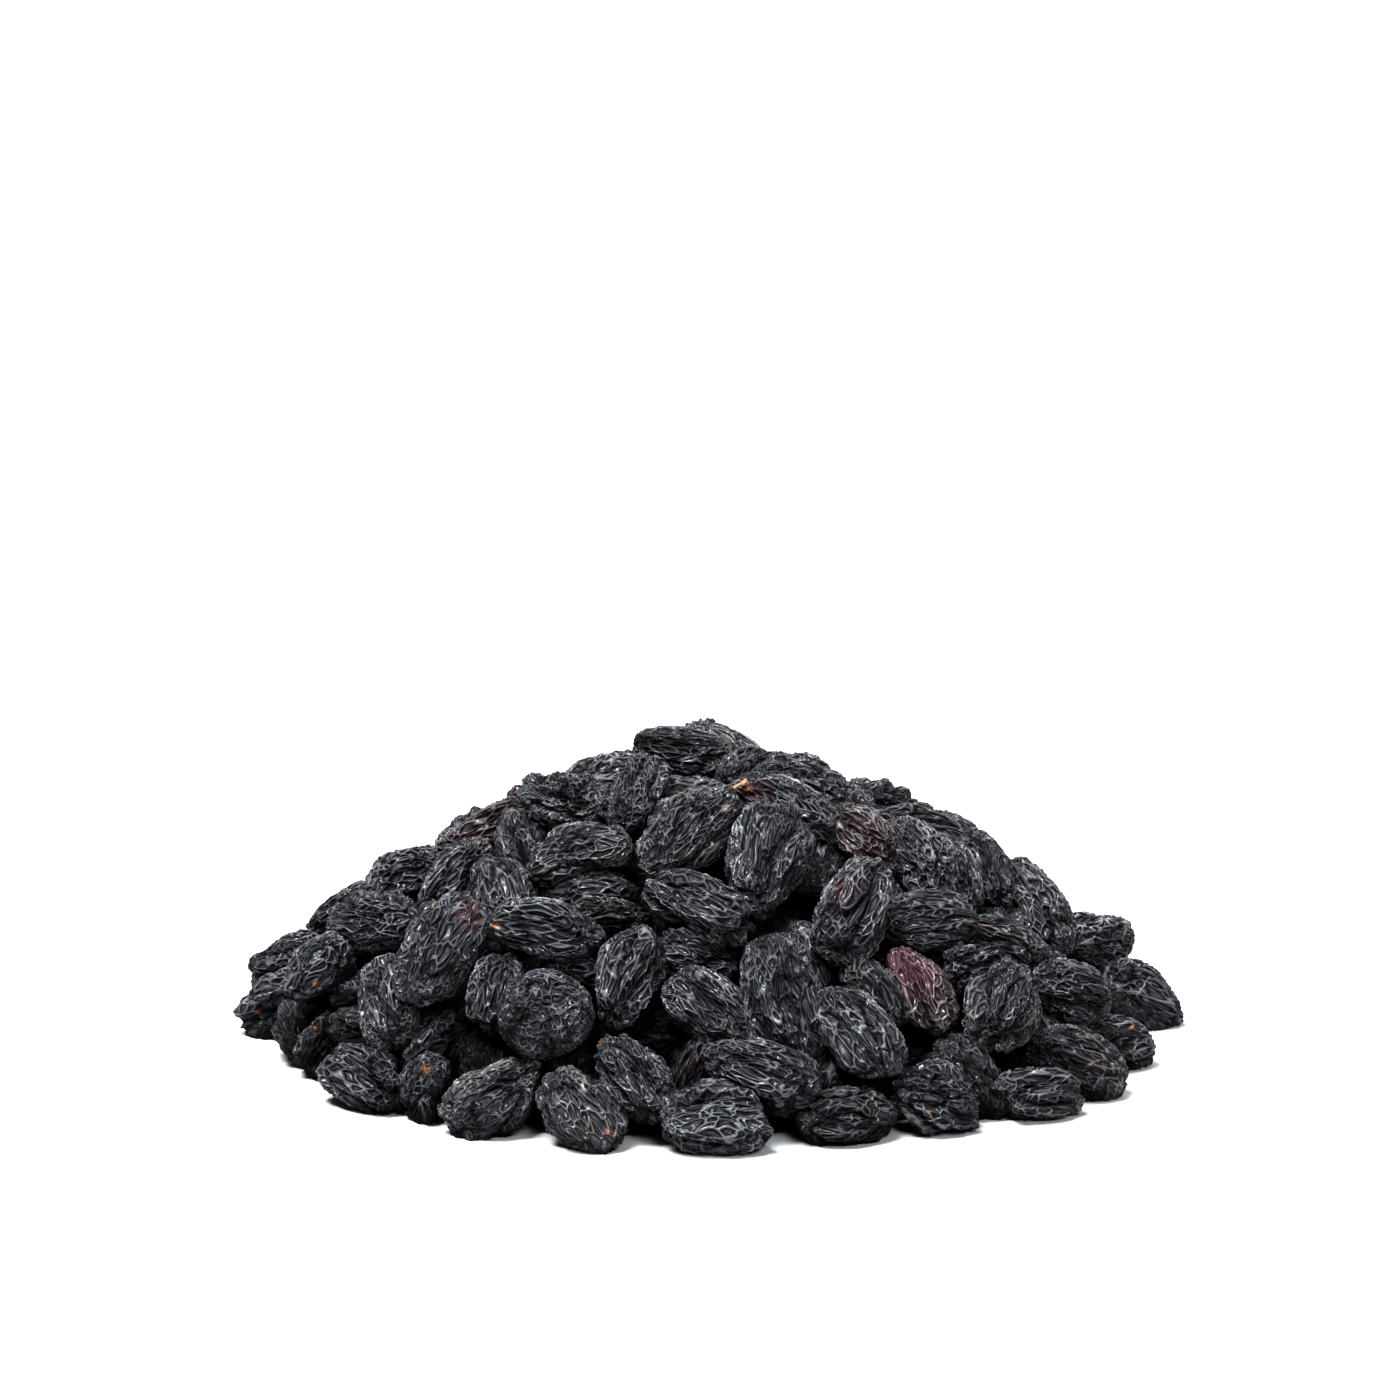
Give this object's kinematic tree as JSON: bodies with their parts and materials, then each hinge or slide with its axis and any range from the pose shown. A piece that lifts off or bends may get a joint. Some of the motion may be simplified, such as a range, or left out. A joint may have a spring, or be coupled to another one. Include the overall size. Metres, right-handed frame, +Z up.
{
  "type": "heap of black raisins",
  "caption": "Low round heap of large wrinkled black raisins, lying loose on each other on a flat surface.",
  "frame": {"origin": "on the flat surface that the heap stands on, under the middle of the heap", "axes": "+Z up, +X along the heap's widest direction, to the right as the front is seen, -Y to the front"},
  "size_m": [0.1547, 0.1384, 0.0491],
  "materials": {
    "raisin_black": "satin wrinkled skin, blue-black",
    "raisin_purple": "satin wrinkled skin, red-purple",
    "raisin_red_brown": "satin wrinkled skin, brown-black",
    "raisin_stalk": "dry matt stalk, light tan"
  },
  "bodies": {
    "root": {"raisin_foot_1": "raisin_black", "raisin_foot_2": "raisin_black", "raisin_foot_3": "raisin_black", "raisin_foot_4": "raisin_black", "raisin_foot_5": "raisin_black", "raisin_foot_6": "raisin_black", "raisin_foot_7": "raisin_black", "raisin_foot_8": "raisin_black", "raisin_foot_9": "raisin_black", "raisin_foot_10": "raisin_black", "raisin_foot_11": "raisin_black", "raisin_foot_12": "raisin_black", "raisin_low_1": "raisin_black", "raisin_low_2": "raisin_black", "raisin_low_3": "raisin_black", "raisin_low_4": "raisin_black", "raisin_low_5": "raisin_black", "raisin_low_6": "raisin_black", "raisin_low_7": "raisin_black", "raisin_low_8": "raisin_black", "raisin_low_9": "raisin_black", "raisin_low_10": "raisin_black", "raisin_low_11": "raisin_black", "raisin_low_12": "raisin_black", "raisin_low_13": "raisin_purple", "raisin_low_14": "raisin_black", "raisin_low_15": "raisin_black", "raisin_low_16": "raisin_black", "raisin_low_17": "raisin_black", "raisin_low_18": "raisin_black", "raisin_low_19": "raisin_black", "raisin_middle_1": "raisin_black", "raisin_middle_2": "raisin_black", "raisin_middle_3": "raisin_black", "raisin_middle_4": "raisin_black", "raisin_middle_5": "raisin_black", "raisin_middle_6": "raisin_black", "raisin_middle_7": "raisin_black", "raisin_middle_8": "raisin_black", "raisin_middle_9": "raisin_black", "raisin_middle_10": "raisin_black", "raisin_middle_11": "raisin_black", "raisin_middle_12": "raisin_black", "raisin_middle_13": "raisin_red_brown", "raisin_middle_14": "raisin_black", "raisin_middle_15": "raisin_black", "raisin_middle_16": "raisin_black", "raisin_middle_17": "raisin_black", "raisin_middle_18": "raisin_black", "raisin_upper_1": "raisin_red_brown", "raisin_upper_2": "raisin_black", "raisin_upper_3": "raisin_black", "raisin_upper_4": "raisin_black", "raisin_upper_5": "raisin_black", "raisin_upper_6": "raisin_black", "raisin_top_1": "raisin_black", "raisin_top_2": "raisin_black", "raisins_behind_and_under": "raisin_black"}
  },
  "joints": []
}
